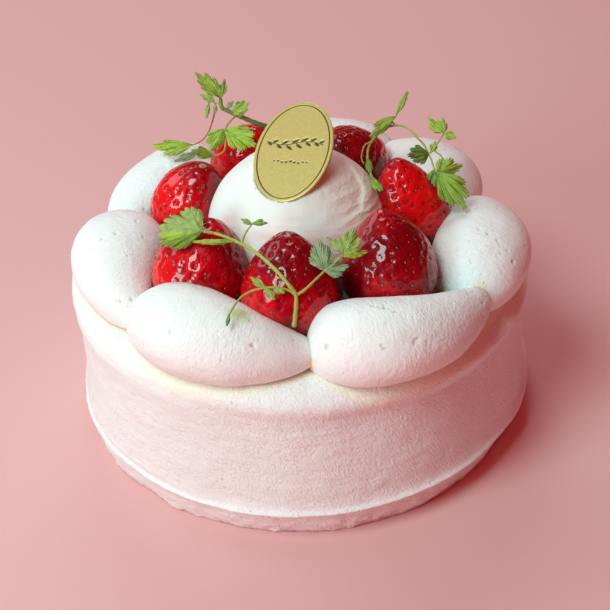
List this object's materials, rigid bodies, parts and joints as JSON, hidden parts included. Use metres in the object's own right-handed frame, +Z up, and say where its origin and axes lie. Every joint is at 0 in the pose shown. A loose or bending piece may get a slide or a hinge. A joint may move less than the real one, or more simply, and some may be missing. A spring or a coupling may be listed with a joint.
{
  "type": "birthday cake",
  "caption": "Round cake coated in whipped cream, with spooned mounds of cream round the rim, a ring of whole strawberries, a central dollop with a plain oval gold card, and chervil sprigs.",
  "frame": {"origin": "centre of the flat base, on the surface that the cake stands on", "axes": "+Z up through the cake, +Y away from the viewer of the picture, +X to the viewer's right"},
  "size_m": [0.1665, 0.1659, 0.1156],
  "materials": {
    "whipped_cream": "soft satin whipped cream, with fine streaks and small air bubbles",
    "strawberry": "glazed whole strawberry, glossy, with yellow seeds in dimples",
    "gold_card": "matt gold-coated card with one engraved oval line",
    "chervil": "fresh green herb leaf with paler veins"
  },
  "bodies": {
    "root": {"cake_body": "whipped_cream", "cream_mound_1": "whipped_cream", "cream_mound_2": "whipped_cream", "cream_mound_3": "whipped_cream", "cream_mound_4": "whipped_cream", "cream_mound_5": "whipped_cream", "cream_mound_6": "whipped_cream", "cream_mound_7": "whipped_cream", "cream_dollop": "whipped_cream", "strawberry_1": "strawberry", "strawberry_2": "strawberry", "strawberry_3": "strawberry", "strawberry_4": "strawberry", "strawberry_5": "strawberry", "strawberry_6": "strawberry", "strawberry_7": "strawberry", "gold_card": "gold_card", "chervil_sprig_1": "chervil", "chervil_sprig_2": "chervil", "chervil_sprig_3": "chervil"}
  },
  "joints": []
}
